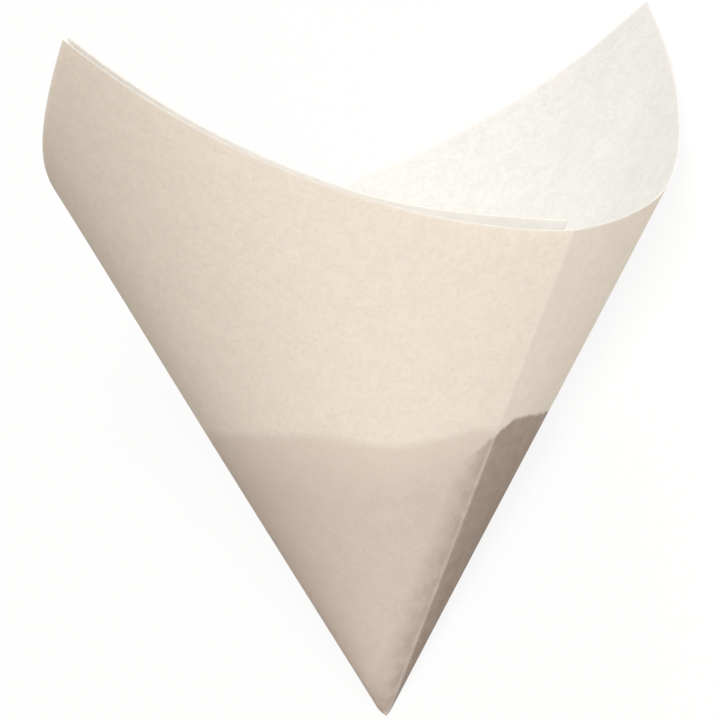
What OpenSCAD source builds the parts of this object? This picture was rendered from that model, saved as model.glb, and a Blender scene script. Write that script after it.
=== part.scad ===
// Paper coffee filter, opened for use. Millimetres and degrees.
//
// One square sheet is folded in half twice, which leaves four quarters that meet at the
// sheet's centre, and is opened to a cone whose tip is that centre. One quarter closes the
// cone on one side as a single layer. The other three lie on the other side as three layers.
// Going round the paper, the quarters follow each other as
//   single layer, crease B, inner layer, folded edge A, middle layer, folded edge B,
//   outer layer, crease A, and back to the single layer.
// Crease A and crease B are opened. The folded edges A and B stay shut: edge A lies inside
// the cone behind crease A, and edge B lies outside the cone on crease B.
//
// Every layer is a bundle of straight rays from the tip, so the paper is bent and never
// stretched, and each ray ends where the flat square ends. That gives the two pointed ears
// over the middle of each side and the two low points at the creases.
//
// Frame: the filter lies on the middle of its single layer. The origin is the sharp point
// that its outer faces run to, +X runs along the surface it lies on to the ear, +Z is up, and
// crease A is on the -Y side.

/* [Sheet] */
// Side of the flat square sheet
sheet_side = 304.8; // [200:0.2:340]
// Thickness of the paper
paper_t = 0.2; // [0.15:0.01:0.35]

/* [Layers] */
// Clear gap between two layers that lie on each other
layer_gap = 0.15; // [0.1:0.01:0.4]
// Lean of the inner pair of layers into the cone before crease A, in degrees of half angle
pair_lean = 1.6; // [0:0.05:2]
// Middle of that lean, in degrees round the cone from crease A
pair_lean_at = 14; // [5:1:30]
// Half width of that lean, in degrees round the cone
pair_lean_reach = 34; // [20:1:60]
// Slack of the inner pair at the ear, in degrees of half angle
pair_slack = 0.12; // [0:0.02:0.5]
// How far the inner pair's folded edge runs round past crease A, in degrees round the cone
pair_overrun = 1.5; // [0:0.1:4]

/* [Creases] */
// How far an opened crease stands out of the round cone, in degrees of half angle
crease_rise = 0.8; // [0:0.05:2]
// How far that reaches to each side of the crease, in degrees round the cone
crease_reach = 27; // [15:1:60]
// How far the single layer dips in between crease A and its ear, in degrees of half angle
flank_dip = 0.65; // [0:0.05:1]
// Middle of that dip, in degrees round the cone from crease A
flank_at = 58; // [45:1:60]
// Half width of that dip, in degrees round the cone
flank_reach = 31; // [20:1:32]

/* [Rest and tip] */
// Half width of the strip that the surface below presses flat, in degrees round the cone
rest_half = 8; // [3:0.5:12]
// Share of the pressed depth that is rounded off into the cone
rest_blend = 0.5; // [0.2:0.05:0.8]
// Radius left open inside the layers where the squashed tip begins
tip_core = 0.7; // [0.4:0.05:1.5]

/* [Hidden] */

// Fineness: steps across a quarter (even, so that one ray ends in the square's corner), steps
// from tip to free edge, and steps round a folded edge (even).
quarter_steps = 64;
slant_steps = 3;
turn_steps = 6;

quarter_deg = 90;
half_side = sheet_side / 2;
// Two quarters of paper, 180 degrees, go once round the cone.
cone_half = asin(2 * quarter_deg / 360);
// Directions round the cone, from the middle of the single layer
crease_a = -90;
crease_b = 90;
edge_a = crease_a + 360 + pair_overrun;
// From the middle of one layer to the middle of the next
layer_pitch = paper_t + layer_gap;
// The strip pressed flat lies this far from the axis, and is blended over this much, both
// for each millimetre of height along the axis.
rest_depth = tan(cone_half) * (1 - cos(rest_half));
rest_dist = tan(cone_half) - rest_depth;
rest_round = rest_depth * rest_blend;
rest_angle = atan(rest_dist);
// Height along the axis up to which the tip is squashed solid
tip_h = (tip_core + 2 * layer_pitch + paper_t / 2) / tan(cone_half);
// The outer faces run to a point this far behind the point of the paper's middle.
point_back = paper_t / 2 / sin(rest_angle);
// The squashed tip: a ring half way down, and its blunt end
nose_ring_h = 0.5 * tip_h;
nose_ring_share = 0.92;
nose_end_h = 0.2 * tip_h;

// Shortest turn between two directions round the cone
function turn_between(a, b) = min(abs(a - b), abs(a - b + 360), abs(a - b - 360));

// Rise of the wall beside an opened crease
function rise(from_crease) =
    crease_rise * pow(max(0, 1 - from_crease / crease_reach), 1.5);

// Dip of the single layer's flank, a smooth hollow
function dip(around) =
    let (away = turn_between(around, crease_a + flank_at) / flank_reach)
    away < 1 ? flank_dip * (1 + cos(180 * away)) / 2 : 0;

// Smooth lesser of x and the resting strip's distance from the axis
function pressed(x) =
    x <= rest_dist - rest_round ? x
    : x >= rest_dist + rest_round ? rest_dist
    : x - pow(x - rest_dist + rest_round, 2) / (4 * rest_round);

// Ray from the tip in a direction round the cone, at a half angle
function ray(around, half_angle) =
    let (r = tan(half_angle),
         v = [pressed(r * cos(around)), r * sin(around), 1])
    v / norm(v);

// The outer family of layers follows both opened creases.
function outer_ray(around) =
    ray(around, cone_half + rise(turn_between(around, crease_a))
        + rise(turn_between(around, crease_b)) - dip(around));

// Lean of the inner pair: a smooth swell before crease A, and a little slack over the ear
function lean(around) =
    let (away = abs(around - (crease_a + 360 - pair_lean_at)) / pair_lean_reach)
    pair_slack * sin(max(0, min(180, around - crease_b)))
        + (away < 1 ? pair_lean * (1 + cos(180 * away)) / 2 : 0);

// The inner pair leaves crease B and leans in towards crease A.
function pair_ray(around) =
    ray(around, cone_half + rise(turn_between(around, crease_b)) - lean(around));

function unit(v) = v / norm(v);

// A ray with its outward normal and its direction of turning, from two rays beside it
function frame_of(before, here, after) =
    let (n = unit(cross(after - before, here)))
    [here, n, cross(here, n)];
function outer_frame(around) =
    frame_of(outer_ray(around - 0.05), outer_ray(around), outer_ray(around + 0.05));
function pair_frame(around) =
    frame_of(pair_ray(around - 0.05), pair_ray(around), pair_ray(around + 0.05));

// Distance from the sheet's centre to its edge, across a quarter from one fold to the next
function slant(part) =
    half_side / max(cos(quarter_deg * part), sin(quarter_deg * part));

// A line of the sheet: ray, shift of the paper's middle, normal of the outer face, slant
function line_of(f, level, side, part) = [f[0], level * f[1], side * f[1], slant(part)];

// A line on a folded edge, part of a half turn from the inner to the outer of two layers.
// way is 1 if the edge turns forward round the cone, and -1 if it turns back.
function turn_line(f, level, way, part) =
    let (out = -cos(180 * part) * f[1] + way * sin(180 * part) * f[2])
    [f[0], level * f[1] + layer_pitch / 2 * out, -way * out, half_side];

n = quarter_steps;
m = turn_steps;
steps = [for (i = [0:n]) i / n];
single_layer = [for (i = [0:n - 1])
    line_of(outer_frame(crease_a + 180 * steps[i]), 0, 1, steps[i])];
inner_layer = [for (p = steps)
    line_of(pair_frame(crease_b + (edge_a - crease_b) * p), -2 * layer_pitch * p, 1, p)];
folded_edge_a = [for (k = [1:m - 1])
    turn_line(pair_frame(edge_a), -1.5 * layer_pitch, 1, k / m)];
middle_layer = [for (p = steps)
    line_of(pair_frame(edge_a - (edge_a - crease_b) * p), (2 * p - 1) * layer_pitch, -1, p)];
folded_edge_b = [for (k = [1:m - 1])
    turn_line(pair_frame(crease_b), 1.5 * layer_pitch, -1, k / m)];
outer_layer = [for (i = [0:n - 1])
    line_of(outer_frame(crease_b + 180 * steps[i]), 2 * layer_pitch * (1 - steps[i]), 1,
        steps[i])];
sheet = concat(single_layer, inner_layer, folded_edge_a, middle_layer, folded_edge_b,
    outer_layer);
lines = len(sheet);

// Point on a face of the sheet. side is 1 on the outer face and -1 on the inner one, and
// step runs from the squashed tip to the free edge.
function sheet_point(line, side, step) =
    let (off = line[1] + side * paper_t / 2 * line[2],
         low = (tip_h - off[2]) / line[0][2],
         s = low + (line[3] - low) * step / slant_steps)
    s * line[0] + off;

levels = slant_steps + 1;
sheet_points = [for (line = sheet, step = [0:slant_steps], side = [-1, 1])
    sheet_point(line, side, step)];
function at(line, step, side) = 2 * (levels * (line % lines) + step) + (side + 1) / 2;

// Outline of the squashed tip: the outer face without the slit between the inner and the
// middle layer, which opens at crease B
slit_first = n;
slit_last = slit_first + (n + 1) + (m - 1) + (n + 1) + m / 2 - 1;
tip_lines = concat([for (i = [0:slit_first]) i], [for (i = [slit_last:lines - 1]) i]);
tips = len(tip_lines);
nose_scale = nose_ring_share * (nose_ring_h + point_back) / (tip_h + point_back);
nose_points = [for (i = tip_lines)
    let (p = sheet_point(sheet[i], 1, 0))
    [nose_scale * p[0], nose_scale * p[1], nose_ring_h]];
nose_first = len(sheet_points);
nose_end = nose_first + tips;

outer_face = [for (i = [0:lines - 1], j = [0:slant_steps - 1], half = [0, 1])
    half == 0 ? [at(i, j, 1), at(i, j + 1, 1), at(i + 1, j + 1, 1)]
    : [at(i, j, 1), at(i + 1, j + 1, 1), at(i + 1, j, 1)]];
inner_face = [for (i = [0:lines - 1], j = [0:slant_steps - 1], half = [0, 1])
    half == 0 ? [at(i, j, -1), at(i + 1, j + 1, -1), at(i, j + 1, -1)]
    : [at(i, j, -1), at(i + 1, j, -1), at(i + 1, j + 1, -1)]];
cut_edge = [for (i = [0:lines - 1], half = [0, 1])
    half == 0 ? [at(i, slant_steps, 1), at(i, slant_steps, -1), at(i + 1, slant_steps, -1)]
    : [at(i, slant_steps, 1), at(i + 1, slant_steps, -1), at(i + 1, slant_steps, 1)]];
tip_inside = [[for (i = [lines - 1:-1:0]) at(i, 0, -1)]];
tip_slit = [[for (i = [slit_first:slit_last]) at(i, 0, 1)]];
tip_sides = [for (k = [0:tips - 1], part = [0, 1, 2])
    let (next = (k + 1) % tips, a = at(tip_lines[k], 0, 1), b = at(tip_lines[next], 0, 1))
    part == 0 ? [a, b, nose_first + next]
    : part == 1 ? [a, nose_first + next, nose_first + k]
    : [nose_first + k, nose_first + next, nose_end]];

module filter_sheet() {
    color([0.93, 0.9, 0.85])
    rotate([0, 90 - rest_angle, 0])
    translate([0, 0, point_back])
    polyhedron(
        points = concat(sheet_points, nose_points, [[0, 0, nose_end_h]]),
        faces = concat(outer_face, inner_face, cut_edge, tip_inside, tip_slit, tip_sides),
        convexity = 10);
}

filter_sheet();
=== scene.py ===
# %% [markdown]
# A paper coffee filter, folded from one square sheet and opened to a cone.
#
# The real thing is a square of heavy bonded filter paper, 12 inches a side, folded in half and
# in half again. Opened for use it has one layer of paper on one side of the cone and three on
# the other, and the corners of the square stand up as two pointed ears. Nothing is glued or
# cut to shape, so everything that shows comes from four straight folds and from the paper.
#
# The construction model gives the size and the place of the sheet. This file makes the same
# folded sheet with finer steps, the slight waves that paper always has, and the finish.

import math

import bpy
import numpy as np
from mathutils import Matrix, Vector


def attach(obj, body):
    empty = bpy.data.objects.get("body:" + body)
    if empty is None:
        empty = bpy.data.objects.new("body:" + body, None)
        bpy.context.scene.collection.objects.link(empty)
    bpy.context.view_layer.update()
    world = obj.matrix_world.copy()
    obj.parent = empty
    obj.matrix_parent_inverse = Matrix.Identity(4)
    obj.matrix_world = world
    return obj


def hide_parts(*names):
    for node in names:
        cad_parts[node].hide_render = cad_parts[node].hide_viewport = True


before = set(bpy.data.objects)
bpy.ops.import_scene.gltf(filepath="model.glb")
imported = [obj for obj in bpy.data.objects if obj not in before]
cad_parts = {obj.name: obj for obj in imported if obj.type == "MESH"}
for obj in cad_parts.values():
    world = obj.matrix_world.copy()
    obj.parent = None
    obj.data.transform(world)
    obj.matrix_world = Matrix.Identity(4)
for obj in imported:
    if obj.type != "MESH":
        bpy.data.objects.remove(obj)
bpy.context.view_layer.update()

# %% [markdown]
# The view comes first. The picture looks at the cone from the side, a little from above, with
# the tip down and the near wall towards us. Here the filter lies on its single layer, as a
# thing that can't stand by itself would, so the camera goes round it until it has the same
# view: it looks down on the lying cone, and the cone's axis points up in the picture.
#
# The directions are first worked out round an upright cone, with x to the right of the
# picture, y away from us and z up the axis, and then turned with the cone as it lies.

# %%
cone_half = 30.0
half_angle = math.radians(cone_half)
paper = 0.0002
pressed_half = math.radians(8)
pressed_blend = 0.5
pressed_depth = math.tan(half_angle) * (1 - math.cos(pressed_half))
pressed_dist = math.tan(half_angle) - pressed_depth
pressed_angle = math.atan(pressed_dist)
point_back = paper / 2 / math.sin(pressed_angle)
lie_down = Matrix.Rotation(math.radians(90) - pressed_angle, 3, "Y")
print("the axis lies", round(math.degrees(pressed_angle), 2), "degrees above the surface")

# %%
turn_of_cone = math.radians(43.58)
camera_rise = math.radians(2.371)
camera_roll = math.radians(-1.975)
camera_distance = 3.870
aim_height = 0.132
picture = 720
film_width = 36.0
pixels_per_metre = 3746.1
axis_in_picture = (369.38, 224.65)

upright_to_cone = Matrix((
    (math.cos(turn_of_cone), math.sin(turn_of_cone), 0),
    (-math.sin(turn_of_cone), math.cos(turn_of_cone), 0),
    (0, 0, 1),
))
to_lying = lie_down @ upright_to_cone


def lying(x, y, z):
    return to_lying @ Vector((x, y, z + point_back))


sin_rise, cos_rise = math.sin(camera_rise), math.cos(camera_rise)
sin_roll, cos_roll = math.sin(camera_roll), math.cos(camera_roll)
view_right = to_lying @ Vector((cos_roll, sin_roll * sin_rise, sin_roll * cos_rise))
view_up = to_lying @ Vector((-sin_roll, cos_roll * sin_rise, cos_roll * cos_rise))
view_back = to_lying @ Vector((0, -cos_rise, sin_rise))
aim = (
    lying(0, 0, aim_height)
    + view_right * (picture / 2 - axis_in_picture[0]) / pixels_per_metre
    + view_up * (axis_in_picture[1] - picture / 2) / pixels_per_metre
)
eye = lying(0, 0, aim_height) + view_back * camera_distance

# %%
camera = bpy.data.objects.new("camera", bpy.data.cameras.new("camera"))
bpy.context.scene.collection.objects.link(camera)
bpy.context.scene.camera = camera
back = (eye - aim).normalized()
right = view_up.cross(back).normalized()
up = back.cross(right)
turned = Matrix((right, up, back)).transposed().to_4x4()
camera.matrix_world = Matrix.Translation(eye) @ turned
camera.data.sensor_width = film_width
camera.data.lens = film_width * (eye - aim).length * pixels_per_metre / picture
camera.data.clip_start, camera.data.clip_end = 0.1, 30
print("lens", round(camera.data.lens), "mm, looking down at",
      round(math.degrees(math.asin(back.z)), 1), "degrees")

# %% [markdown]
# The sheet. Going round the paper, its four quarters are the single layer, the inner, the
# middle and the outer layer. Crease A and crease B are opened, and the folded edges A and B
# stay shut. Paper bends but doesn't stretch, so every quarter is a fan of straight lines from
# the sheet's centre, and each line is as long as it is on the flat square. That alone draws
# the ears and the dips between them.
#
# A cloth simulation could drape it, but paper this stiff holds its cone, and a simulation
# would stretch it. The fan of true lengths is exact.

# %%
sheet_side = 0.3048
half_side = sheet_side / 2
layer_gap = 0.00015
layer_pitch = paper + layer_gap
crease_a, crease_b = -90.0, 90.0
pair_overrun, pair_slack = 1.5, 0.12
pair_lean, pair_lean_at, pair_lean_reach = 1.6, 14.0, 34.0
edge_a = crease_a + 360 + pair_overrun
crease_rise, crease_reach = 0.8, 27.0
flank_dip, flank_at, flank_reach = 0.65, 58.0, 31.0
tip_core = 0.0007
tip_height = (tip_core + 2 * layer_pitch + paper / 2) / math.tan(half_angle)
print("flat sheet", round(1000 * sheet_side, 1), "mm a side, tip closed up to",
      round(1000 * tip_height, 2), "mm")


def turn_between(a, b):
    return np.abs((np.asarray(a, float) - b + 180) % 360 - 180)


def rise(from_crease):
    return crease_rise * np.maximum(0, 1 - from_crease / crease_reach) ** 1.5


def dip(around):
    away = turn_between(around, crease_a + flank_at) / flank_reach
    return np.where(away < 1, flank_dip * (1 + np.cos(np.pi * away)) / 2, 0)


# %% [markdown]
# Where the cone rests, the surface below presses a narrow strip of it flat. The strip fades
# into the round cone with a small smooth step, so no ridge shows there.

# %%
def pressed(x):
    blend = pressed_depth * pressed_blend
    low, high = pressed_dist - blend, pressed_dist + blend
    soft = x - (x - low) ** 2 / (4 * blend)
    return np.where(x <= low, x, np.where(x >= high, pressed_dist, soft))


def ray(around, half_degrees):
    r = np.tan(np.radians(half_degrees))
    a = np.radians(around)
    v = np.stack([pressed(r * np.cos(a)), r * np.sin(a), np.ones_like(r)], -1)
    return v / np.linalg.norm(v, axis=-1, keepdims=True)


def outer_ray(around):
    lift = rise(turn_between(around, crease_a)) + rise(turn_between(around, crease_b))
    return ray(around, cone_half + lift - dip(around))


def lean(around):
    away = np.abs(around - (crease_a + 360 - pair_lean_at)) / pair_lean_reach
    swell = np.where(away < 1, pair_lean * (1 + np.cos(np.pi * away)) / 2, 0)
    return swell + pair_slack * np.sin(np.radians(np.clip(around - crease_b, 0, 180)))


def pair_ray(around):
    return ray(around, cone_half + rise(turn_between(around, crease_b)) - lean(around))


beside = 0.05


def with_normal(ray_of, around):
    around = np.asarray(around, float)
    here = ray_of(around)
    out = np.cross(ray_of(around + beside) - ray_of(around - beside), here)
    out /= np.linalg.norm(out, axis=-1, keepdims=True)
    return here, out, np.cross(here, out)


# %% [markdown]
# Each line of the sheet is kept as one row of numbers: its direction from the tip, how far
# its layer is shifted from the cone, the way its outer face looks, its true length, and its
# angle on the flat sheet. The shift winds the layers over each other, one pitch apart, and a
# folded edge is a small half turn from one layer to the next.

# %%
quarter_steps, turn_steps = 96, 6
steps = np.arange(quarter_steps + 1) / quarter_steps


def quarter(ray_of, around, level, side, quarter_number, part):
    here, out, _ = with_normal(ray_of, around)
    length = half_side / np.maximum(np.cos(part * np.pi / 2), np.sin(part * np.pi / 2))
    level = np.broadcast_to(level, part.shape)
    flat = (quarter_number + part) * np.pi / 2
    return np.column_stack([here, level[:, None] * out, side * out, length, flat, around])


def folded_edge(ray_of, around, level, way, quarter_number):
    part = np.arange(1, turn_steps) / turn_steps
    here, out, along = with_normal(ray_of, np.full(len(part), around))
    bow = -np.cos(np.pi * part)[:, None] * out + way * np.sin(np.pi * part)[:, None] * along
    shift = level * out + layer_pitch / 2 * bow
    flat = np.full(len(part), quarter_number * np.pi / 2)
    length = np.full(len(part), half_side)
    return np.column_stack([here, shift, -way * bow, length, flat, np.full(len(part), around)])


span = edge_a - crease_b
lines = np.vstack([
    quarter(outer_ray, crease_a + 180 * steps[:-1], 0.0, 1, 0, steps[:-1]),
    quarter(pair_ray, crease_b + span * steps, -2 * layer_pitch * steps, 1, 1, steps),
    folded_edge(pair_ray, edge_a, -1.5 * layer_pitch, 1, 2),
    quarter(pair_ray, edge_a - span * steps, (2 * steps - 1) * layer_pitch, -1, 2, steps),
    folded_edge(pair_ray, crease_b, 1.5 * layer_pitch, -1, 3),
    quarter(outer_ray, crease_b + 180 * steps[:-1], 2 * layer_pitch * (1 - steps[:-1]), 1, 3,
            steps[:-1]),
])
heading, shift_of_layer, outer_side = lines[:, 0:3], lines[:, 3:6], lines[:, 6:9]
true_length, flat_angle, place_round = lines[:, 9], lines[:, 10], lines[:, 11]
print(len(lines), "lines round the sheet")

# %% [markdown]
# No opened filter is a perfect cone. Between its creases the paper swells and slackens by a
# few tenths of a millimetre, more towards its free edge. The waves are the same for all the
# layers that lie on each other, or they would cut through each other, and they die out at the
# tip and where the cone rests. A few sine waves of odd lengths are enough, and they come out
# the same on every run.

# %%
wave_height = 0.00045
# Share of the height, waves round the cone, twist towards the free edge, and start
slack_waves = ((0.50, 3, 2.6, 0.4), (0.32, 5, -4.1, 2.0), (0.22, 8, 6.3, 4.4))
held_flat, held_fade = 14, 30


def slack(around, out_from_tip):
    a = np.radians(around)
    t = out_from_tip / half_side
    waves = sum(part * np.sin(number * a + twist * t + start)
                for part, number, twist, start in slack_waves)
    free = np.clip(t, 0, 1.4) ** 1.5
    off_surface = np.clip((turn_between(around, 0) - held_flat) / held_fade, 0, 1) ** 2
    return wave_height * waves * free * off_surface


slant_steps = 40
levels = slant_steps + 1


def face_points(side):
    off = shift_of_layer + side * paper / 2 * outer_side
    low = (tip_height - off[:, 2]) / heading[:, 2]
    part = np.linspace(0, 1, levels)
    far = low[:, None] + (true_length - low)[:, None] * part
    a = np.radians(place_round)
    outward = np.column_stack([
        np.cos(a) * math.cos(half_angle), np.sin(a) * math.cos(half_angle),
        np.full(len(a), -math.sin(half_angle))])
    wave = slack(place_round[:, None], far)
    points = far[..., None] * heading[:, None] + off[:, None]
    return points + wave[..., None] * outward[:, None], far


outer_points, out_from_tip = face_points(1)
inner_points, _ = face_points(-1)
print("longest line", round(1000 * out_from_tip.max(), 1), "mm from tip to ear")

# %% [markdown]
# The two faces and the cut edge are joined to one skin, which is still open at the tip.

# %%
count = len(lines)
points = np.concatenate([inner_points, outer_points]).reshape(-1, 3)


def at(line, step, side):
    return (count if side > 0 else 0) * levels + (line % count) * levels + step


faces = []
for i in range(count):
    for j in range(slant_steps):
        faces.append((at(i, j, 1), at(i, j + 1, 1), at(i + 1, j + 1, 1), at(i + 1, j, 1)))
        faces.append((at(i, j, -1), at(i + 1, j, -1), at(i + 1, j + 1, -1), at(i, j + 1, -1)))
    faces.append((at(i, slant_steps, 1), at(i, slant_steps, -1),
                  at(i + 1, slant_steps, -1), at(i + 1, slant_steps, 1)))
print(len(faces), "faces on the sheet")

# %% [markdown]
# At the very tip the layers are squashed together, so the skin is closed there by a small blunt
# nose. On the way in, the slit between the inner and the middle layer, which opens at crease B,
# is closed by a face of its own.

# %%
slit_first = quarter_steps
slit_last = slit_first + 2 * (quarter_steps + 1) + turn_steps - 1 + turn_steps // 2 - 1
rim = list(range(slit_first + 1)) + list(range(slit_last, count))
faces.append(tuple(at(i, 0, -1) for i in reversed(range(count))))
faces.append(tuple(at(i, 0, 1) for i in range(slit_first, slit_last + 1)))

nose_ring_height, nose_end_height = 0.5 * tip_height, 0.2 * tip_height
nose_ring_share = 0.92
nose_share = nose_ring_share * (nose_ring_height + point_back) / (tip_height + point_back)
ring = points[[at(i, 0, 1) for i in rim]] * [nose_share, nose_share, 0]
ring[:, 2] = nose_ring_height
first = len(points)
end = first + len(ring)
points = np.vstack([points, ring, [[0, 0, nose_end_height]]])
for k, i in enumerate(rim):
    nxt = (k + 1) % len(rim)
    faces.append((at(i, 0, 1), at(rim[nxt], 0, 1), first + nxt, first + k))
    faces.append((first + k, first + nxt, end))
print(len(points), "points and", len(faces), "faces")

# %% [markdown]
# The cone is laid down on the strip that the surface presses flat.

# %%
lying_points = (points + [0, 0, point_back]) @ np.array(lie_down).T
lying_points[:, 2] = np.maximum(lying_points[:, 2], 0)
mesh = bpy.data.meshes.new("folded_sheet")
mesh.from_pydata(lying_points.tolist(), [], faces)
mesh.update()
folded_sheet = bpy.data.objects.new("folded_sheet", mesh)
bpy.context.scene.collection.objects.link(folded_sheet)
print("lying, it is", round(1000 * lying_points[:, 2].max(), 1), "mm high")

# %% [markdown]
# The finish follows the paper and not the space round it, so every point of the skin also
# keeps its place on the flat sheet, in metres from the centre. The fibres then run on over
# the folds as they do in the real sheet.

# %%
on_face = count * levels
place_on_sheet = np.zeros((len(points), 3), np.float32)
for start, height in ((0, 0.0), (on_face, paper)):
    here = place_on_sheet[start:start + on_face]
    here[:, 0] = (out_from_tip * np.cos(flat_angle)[:, None]).ravel()
    here[:, 1] = (out_from_tip * np.sin(flat_angle)[:, None]).ravel()
    here[:, 2] = height
on_sheet = mesh.attributes.new("place_on_sheet", "FLOAT_VECTOR", "POINT")
on_sheet.data.foreach_set("vector", place_on_sheet.ravel())
print("places kept for", len(place_on_sheet), "points")

# %% [markdown]
# The faces are shaded smooth, because bent paper has no facets. Only the cut edge and the two
# opened creases are sharp.

# %%
sharp_over = math.radians(35)
mesh.shade_smooth()
mesh.set_sharp_from_angle(angle=sharp_over)
line_of_point = np.full(len(points), -1)
line_of_point[:2 * on_face] = np.tile(np.repeat(np.arange(count), levels), 2)
pairs = np.zeros(2 * len(mesh.edges), int)
mesh.edges.foreach_get("vertices", pairs)
pairs = line_of_point[pairs.reshape(-1, 2)]
on_crease = (pairs[:, 0] == pairs[:, 1]) & np.isin(pairs[:, 0], (0, quarter_steps))
sharp = np.zeros(len(mesh.edges), bool)
mesh.attributes["sharp_edge"].data.foreach_get("value", sharp)
mesh.attributes["sharp_edge"].data.foreach_set("value", sharp | on_crease)
mesh.update()
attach(folded_sheet, "root")
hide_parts("filter_sheet")
print("sharp edges:", int((sharp | on_crease).sum()), "of", len(sharp))

# %% [markdown]
# The paper's finish. Filter paper is a mat of long fibres laid down wet, so it is never even:
# held to the light it shows soft clouds a few millimetres across, with single fibres and a
# fleck here and there. It is matt, warm white, and thin enough to let some light through.
#
# The pattern is made of noise, in a node group that gives only masks, so that the colour, the
# relief and the light that comes through can all share it. A picture of real paper would need
# a file, and would repeat.

# %%
def put(tree, kind, inputs=None, **settings):
    node = tree.nodes.new("ShaderNode" + kind)
    for name, value in settings.items():
        setattr(node, name, value)
    for name, value in (inputs or {}).items():
        socket = node.inputs[name]
        if isinstance(value, bpy.types.NodeSocket):
            tree.links.new(value, socket)
        else:
            socket.default_value = value
    return node


def maths(tree, operation, *values):
    return put(tree, "Math", dict(enumerate(values)), operation=operation).outputs[0]


def product(tree, a, b):
    return maths(tree, "MULTIPLY", a, b)


def noise(tree, place, scale, detail, **more):
    inputs = {"Vector": place, "Scale": scale, "Detail": detail, **more}
    return put(tree, "TexNoise", inputs).outputs["Fac"]


def ramp(tree, value, low, high, start=0.0, stop=1.0, **settings):
    inputs = {"Value": value, "From Min": low, "From Max": high, "To Min": start,
              "To Max": stop}
    return put(tree, "MapRange", inputs, **settings).outputs["Result"]


# %% [markdown]
# A node group takes a place on the sheet and gives back its masks.

# %%
def new_group(name, *masks):
    group = bpy.data.node_groups.new(name, "ShaderNodeTree")
    group.interface.new_socket("Place", in_out="INPUT", socket_type="NodeSocketVector")
    for mask in masks:
        group.interface.new_socket(mask, in_out="OUTPUT", socket_type="NodeSocketFloat")
    return group, group.nodes.new("NodeGroupInput").outputs["Place"]


def give(group, **masks):
    out = group.nodes.new("NodeGroupOutput")
    for mask, value in masks.items():
        group.links.new(value, out.inputs[mask])
    print(group.name, "gives", ", ".join(masks))


# %%
broad_scale, fine_scale = 190.0, 820.0
pulp, place = new_group("pulp", "Cloud", "Fibres", "Flecks", "Relief")
broad = noise(pulp, place, broad_scale, 6.0, Roughness=0.64, Distortion=1.1)
fine = noise(pulp, place, fine_scale, 3.0, Roughness=0.45)
both = put(pulp, "Mix", {0: 0.42, 2: broad, 3: fine}, data_type="FLOAT").outputs[0]
cloud = ramp(pulp, both, 0.39, 0.63)
print("clouds about", round(1000 / broad_scale, 1), "and", round(1000 / fine_scale, 1),
      "mm across")

# %% [markdown]
# A single fibre is a thin curved line. Such lines come from noise too: they are where its
# value just passes through the middle. A second noise breaks them up into short ends. The
# relief is what the side light catches: the clouds stand up a little, the fibres lie on them,
# and a fine grain covers both.

# %%
strand_scale, strand_width, grain_scale = 330.0, 0.030, 2600.0
strands = noise(pulp, place, strand_scale, 1.0, Distortion=1.2)
from_middle = maths(pulp, "ABSOLUTE", maths(pulp, "SUBTRACT", strands, 0.5))
thin = ramp(pulp, from_middle, 0.0, strand_width, 1.0, 0.0)
fibres = product(pulp, thin, ramp(pulp, fine, 0.48, 0.56))
flecks = ramp(pulp, noise(pulp, place, fine_scale, 2.0), 0.70, 0.77)
grain = noise(pulp, place, grain_scale, 2.0)
relief = maths(pulp, "MULTIPLY_ADD", fibres, 0.5,
               maths(pulp, "MULTIPLY_ADD", cloud, 1.4, grain))
give(pulp, Cloud=cloud, Fibres=fibres, Flecks=flecks, Relief=relief)

# %% [markdown]
# The folds and the cut edge. A fold breaks fibres, so the paper is a little lighter and
# fluffier along it, and so is the cut edge; these lighter strips are also a painted highlight,
# where the crease and the cut edge catch the light. On the flat sheet the folds are simply the
# two lines through the centre, and the cut edge is where the larger of the two distances from
# the centre reaches half a side.

# %%
worked, place = new_group("worked", "Fold", "Edge", "Outer", "Single", "Between")
xyz = put(worked, "SeparateXYZ", {"Vector": place}).outputs
x_size, y_size = maths(worked, "ABSOLUTE", xyz["X"]), maths(worked, "ABSOLUTE", xyz["Y"])
nearest = maths(worked, "MINIMUM", x_size, y_size)
furthest = maths(worked, "MAXIMUM", x_size, y_size)
fold_core, fold_fade = 0.0002, 0.0011
edge_fade, edge_core = 0.0009, 0.0001
fold = ramp(worked, nearest, fold_core, fold_fade, 1.0, 0.0)
edge = ramp(worked, furthest, half_side - edge_fade, half_side - edge_core)

# %% [markdown]
# The third number of a place is zero on the face that ends up inside the cone, so it tells the
# two faces apart. Where only one layer closes the cone, its outer face is made a little greyer
# than where three lie over each other. That is painted shade, for the side of the single layer
# that turns away from the light. It is the quarter of the sheet where both distances are
# positive.
#
# The middle layer is turned over, so the face that it shows above the rim was folded away
# between the layers. It is made paler than the rest, which gives the pale line along the rim:
# painted light, for the light that falls into the gap between the layers and comes through
# them. That is the inner face of the quarter where both distances are negative.

# %%
blend = 0.0008
outer = ramp(worked, xyz["Z"], 0.3 * paper, 0.7 * paper)
# the single layer's outer face, which gets a painted shade
one_layer = product(worked, ramp(worked, xyz["Y"], 0.0, blend),
                    ramp(worked, xyz["X"], 0.0, blend))
single = product(worked, one_layer, outer)
# the middle layer's face above the rim, which gets painted light
middle = product(worked, ramp(worked, xyz["Y"], -blend, 0.0, 1.0, 0.0),
                 ramp(worked, xyz["X"], -blend, 0.0, 1.0, 0.0))
between = product(worked, middle, maths(worked, "SUBTRACT", 1.0, outer))
give(worked, Fold=fold, Edge=edge, Outer=outer, Single=single, Between=between)
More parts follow.
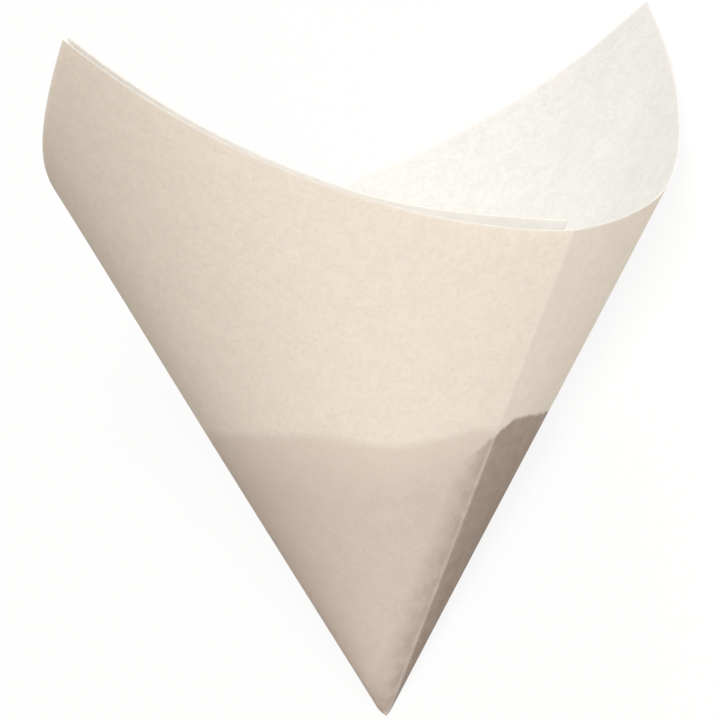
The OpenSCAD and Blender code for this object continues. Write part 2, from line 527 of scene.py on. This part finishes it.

# %% [markdown]
# The tan part. The lower third of the cone is made darker and browner. That is painted shade,
# where the coffee grounds behind the paper darken it and the wooden collar shades it: softly
# where three layers lie over each other, and more strongly on the single layer. Its upper edge
# is nearly level, with slow waves and a slightly fuzzy line, and it gets browner further down.
# How far up it goes is a distance from the sheet's centre.

# %%
fuzz_depth, edge_wave = 0.0036, 0.0022
edge_turns, edge_start, edge_turns_end = 131.0, 1.966, -0.052
# masks of the painted shade on the lower third
painted_low_shade, place = new_group("painted_low_shade", "Soft", "Strong")
flat_place = put(painted_low_shade, "VectorMath", {0: place, 1: (1.0, 1.0, 0.0)},
                 operation="MULTIPLY").outputs[0]
from_centre = put(painted_low_shade, "VectorMath", {0: flat_place}, operation="LENGTH").outputs["Value"]
parts = put(painted_low_shade, "SeparateXYZ", {"Vector": place}).outputs
fuzz = noise(painted_low_shade, flat_place, 420.0, 4.0, Roughness=0.7)
fuzzy = maths(painted_low_shade, "MULTIPLY_ADD", fuzz, fuzz_depth, from_centre)
turn = maths(painted_low_shade, "MULTIPLY_ADD", maths(painted_low_shade, "MAXIMUM", parts["Y"], edge_turns_end),
             edge_turns, edge_start)
wavy = maths(painted_low_shade, "MULTIPLY_ADD", maths(painted_low_shade, "SINE", turn), -edge_wave, fuzzy)

# %%
soft_top = 0.0905
line = ramp(painted_low_shade, wavy, soft_top - 0.0020, soft_top + 0.0024, 0.6, 0.0,
            interpolation_type="SMOOTHSTEP")
deeper = ramp(painted_low_shade, wavy, soft_top - 0.018, soft_top, 0.4, 0.0)
soft = maths(painted_low_shade, "ADD", line, deeper)
print("soft tan up to", round(1000 * (soft_top - fuzz_depth / 2) * math.cos(half_angle)),
      "mm along the axis")

# %% [markdown]
# The strong painted shade is on the single layer, the quarter of the sheet where both
# distances are positive. Along crease A its edge comes down a little.

# %%
strong_top = 0.0950
lower = ramp(painted_low_shade, parts["Y"], 0.0, 0.0055, 0.0045, 0.0)
over_a = maths(painted_low_shade, "MINIMUM", parts["Y"], 0.0)
down = maths(painted_low_shade, "MULTIPLY_ADD", over_a, -1.1, lower)
strong = ramp(painted_low_shade, maths(painted_low_shade, "ADD", fuzzy, down), strong_top - 0.0007,
              strong_top + 0.0010, 1.0, 0.0, interpolation_type="SMOOTHSTEP")
print("strong tan up to", round(1000 * (strong_top - fuzz_depth / 2) * math.cos(half_angle)),
      "mm along the axis")

# %% [markdown]
# It reaches a few millimetres over crease A into the outer layer, in blotches that fade away
# from the crease. It stops at crease B, and it is a little uneven everywhere.

# %%
blotches = noise(painted_low_shade, flat_place, 260.0, 3.0)
over_a_shade = product(painted_low_shade, ramp(painted_low_shade, parts["Y"], -0.0085, -0.0002, 0.0, 0.72),
                 ramp(painted_low_shade, blotches, 0.35, 0.62, 0.6, 1.0))
past_a = maths(painted_low_shade, "MAXIMUM", over_a_shade, ramp(painted_low_shade, parts["Y"], 0.0, 0.0005))
strong_reach = product(painted_low_shade, past_a, ramp(painted_low_shade, parts["X"], 0.0, 0.0012))
mottled = product(painted_low_shade, product(painted_low_shade, strong, strong_reach),
                  ramp(painted_low_shade, blotches, 0.35, 0.65, 0.86, 1.0))
give(painted_low_shade, Soft=soft, Strong=mottled)

# %% [markdown]
# The paper itself. Most of the light is scattered back by a matt surface, and some goes
# through, which is what makes the shaded walls glow warm. So the material mixes a diffuse
# shader with a translucent one. The clouds are where the mat is denser: they let less light
# through and look a touch darker and warmer.
#
# The outer face has a creamier white than the inner one. That is painted warm shade: the
# outside lies in shade, warmed by light thrown back from what stands round it. Light alone
# would have to be strongly coloured to do that, and would then look wrong from every other
# side, so the outer face carries it in its own colour.

# %%
# the outer face's creamier white is painted warm shade
white, outer_painted_shade = (0.936, 0.948, 0.955, 1), (0.967, 0.901, 0.811, 1)
# the greyer single layer is painted shade
dense_place, single_painted_shade = (0.85, 0.84, 0.82, 1), (0.74, 0.715, 0.67, 1)
pale_fibre, grey_fleck = (0.97, 0.96, 0.94, 1), (0.70, 0.67, 0.62, 1)
# the lighter folds and cut edge: broken fibres, and a painted highlight
# the paler band above the rim is painted light
band_painted_light, broken_fibres_and_highlight = (0.985, 0.972, 0.945, 1), (0.98, 0.97, 0.95, 1)
# the tan of the lower third is painted shade
soft_painted_shade, strong_painted_shade = (0.74, 0.65, 0.58, 1), (0.37, 0.29, 0.24, 1)
warmed_in_paper = (1.0, 0.95, 0.87, 1)

paper_finish = bpy.data.materials.new("filter_paper")
paper_finish.use_nodes = True
tree = paper_finish.node_tree
tree.nodes.clear()
where = put(tree, "Attribute", attribute_name="place_on_sheet", attribute_type="GEOMETRY")


def masks_of(group):
    node = put(tree, "Group", node_tree=group)
    tree.links.new(where.outputs["Vector"], node.inputs["Place"])
    return node.outputs


def mixed(factor, a, b, **settings):
    return put(tree, "Mix", {0: factor, 6: a, 7: b}, data_type="RGBA", **settings).outputs[2]


def share(mask, amount):
    return product(tree, mask, amount)


# %%
pulp_of, worked_of, low_shade_of = masks_of(pulp), masks_of(worked), masks_of(painted_low_shade)
# creamier outer face: painted warm shade
colour = mixed(worked_of["Outer"], white, outer_painted_shade)
colour = mixed(share(pulp_of["Cloud"], 0.7), colour, dense_place, blend_type="MULTIPLY")
# greyer single layer: painted shade
colour = mixed(share(worked_of["Single"], 0.25), colour, single_painted_shade)
colour = mixed(share(pulp_of["Fibres"], 0.5), colour, pale_fibre)
colour = mixed(share(pulp_of["Flecks"], 0.5), colour, grey_fleck)
# paler band along the rim: painted light
colour = mixed(share(worked_of["Between"], 0.9), colour, band_painted_light)
# darker, browner lower third: painted shade
colour = mixed(low_shade_of["Soft"], colour, soft_painted_shade)
colour = mixed(share(low_shade_of["Strong"], 0.92), colour, strong_painted_shade)
# lighter folds and cut edge: broken fibres, and a painted highlight
colour = mixed(share(worked_of["Fold"], 0.18), colour, broken_fibres_and_highlight)
colour = mixed(share(worked_of["Edge"], 0.6), colour, broken_fibres_and_highlight)
warm = mixed(1.0, colour, warmed_in_paper, blend_type="MULTIPLY")
print("colour mixed in", sum(node.bl_idname == "ShaderNodeMix" for node in tree.nodes), "steps")

# %%
thin_part, dense_part = 0.19, 0.10
bumps = put(tree, "Bump", {"Strength": 0.32, "Distance": 0.00008,
                           "Height": pulp_of["Relief"]}).outputs["Normal"]
matt = put(tree, "BsdfPrincipled", {"Base Color": colour, "Roughness": 0.88,
                                    "Specular IOR Level": 0.22, "Sheen Weight": 0.12,
                                    "Sheen Roughness": 0.6, "Normal": bumps})
through = put(tree, "BsdfTranslucent", {"Color": warm, "Normal": bumps})
lets_through = ramp(tree, pulp_of["Cloud"], 0.0, 1.0, thin_part, dense_part)
paper_mix = put(tree, "MixShader", {0: lets_through, 1: matt.outputs[0],
                                    2: through.outputs[0]})
put(tree, "OutputMaterial", {"Surface": paper_mix.outputs[0]})
folded_sheet.data.materials.append(paper_finish)
print("finish", paper_finish.name, "with", len(tree.nodes), "nodes and 3 groups")

# %% [markdown]
# The floor is plain white, and so wide that its far edge is never seen. It is a shade whiter
# to the camera than to the light that it throws back, so it meets the white behind it and
# keeps the soft shadow of the filter.

# %%
reach, below = 14.0, 0.00005
floor_mesh = bpy.data.meshes.new("floor")
floor_mesh.from_pydata([(-reach, -reach, 0), (reach, -reach, 0), (reach, reach, 0),
                        (-reach, reach, 0)], [], [(0, 1, 2, 3)])
floor = bpy.data.objects.new("floor", floor_mesh)
bpy.context.scene.collection.objects.link(floor)
floor.location.z = -below

# %%
floor_finish = bpy.data.materials.new("plain_floor")
floor_finish.use_nodes = True
tree = floor_finish.node_tree
tree.nodes.clear()
pure_white, thrown_back, own_light = (1.0, 1.0, 1.0, 1), (0.80, 0.80, 0.80, 1), 0.9
seen = put(tree, "LightPath")
lit = put(tree, "BsdfDiffuse", {"Color": thrown_back})
white_lit = put(tree, "BsdfDiffuse", {"Color": pure_white})
plain = put(tree, "Emission", {"Color": pure_white, "Strength": 1.0})
to_camera = put(tree, "MixShader", {0: own_light, 1: white_lit.outputs[0],
                                    2: plain.outputs[0]})
put(tree, "OutputMaterial", {"Surface": put(tree, "MixShader", {
    0: seen.outputs["Is Camera Ray"], 1: lit.outputs[0], 2: to_camera.outputs[0]}).outputs[0]})
floor.data.materials.append(floor_finish)

# %% [markdown]
# The light is that of a plain studio. Most of it comes from a broad soft lamp above the camera,
# so the wall is brightest in the middle and falls off into shade to its sides. A second lamp
# stands behind the filter and past its mouth. It lights the inside of the far wall and its ear,
# and some of it comes through the paper. The rest is dim, even light that is slightly warm, as
# if thrown back by what stands round it.
#
# A lamp's level is how bright it makes a white surface that faces it, where 1 is white.

# %%
world = bpy.data.worlds.new("studio")
bpy.context.scene.world = world
world.use_nodes = True
tree = world.node_tree
tree.nodes.clear()
even_colour, even_level = (1.0, 0.85, 0.70, 1), 0.33
seen = put(tree, "LightPath")
showing = maths(tree, "MAXIMUM", seen.outputs["Is Camera Ray"], seen.outputs["Is Glossy Ray"])
showing = maths(tree, "MAXIMUM", showing, seen.outputs["Is Transmission Ray"])
even = put(tree, "Background", {"Color": even_colour, "Strength": even_level})
plain_white = put(tree, "Background", {"Color": pure_white, "Strength": 1.0})
put(tree, "OutputWorld", {"Surface": put(tree, "MixShader", {
    0: showing, 1: even.outputs[0], 2: plain_white.outputs[0]}).outputs[0]})

# %%
lit_from = 3.0
lamp_aim = Vector((0.10, 0.0, 0.07))


def soft_lamp(name, towards, size, level, colour):
    lamp = bpy.data.objects.new(name, bpy.data.lights.new(name, "AREA"))
    lamp.data.shape, lamp.data.size = "DISK", size
    lamp.data.energy = level * (math.pi * lit_from) ** 2
    lamp.data.color = colour
    lamp.location = lamp_aim + towards.normalized() * lit_from
    lamp.rotation_mode = "QUATERNION"
    lamp.rotation_quaternion = (lamp_aim - lamp.location).to_track_quat("-Z", "Y")
    lamp.visible_camera = False
    bpy.context.scene.collection.objects.link(lamp)
    print(name, [round(x, 2) for x in lamp.location], round(lamp.data.energy), "W")


soft_lamp("lamp_behind", view_up * 0.9 - view_back * 0.45, size=1.6, level=0.78,
          colour=(0.96, 1, 1))
soft_lamp("lamp_front", view_back * 0.94 - view_right * 0.10 + view_up * 0.26, size=1.4,
          level=0.82, colour=(1, 0.995, 0.98))

# %%
bpy.context.scene.view_settings.view_transform = "Standard"
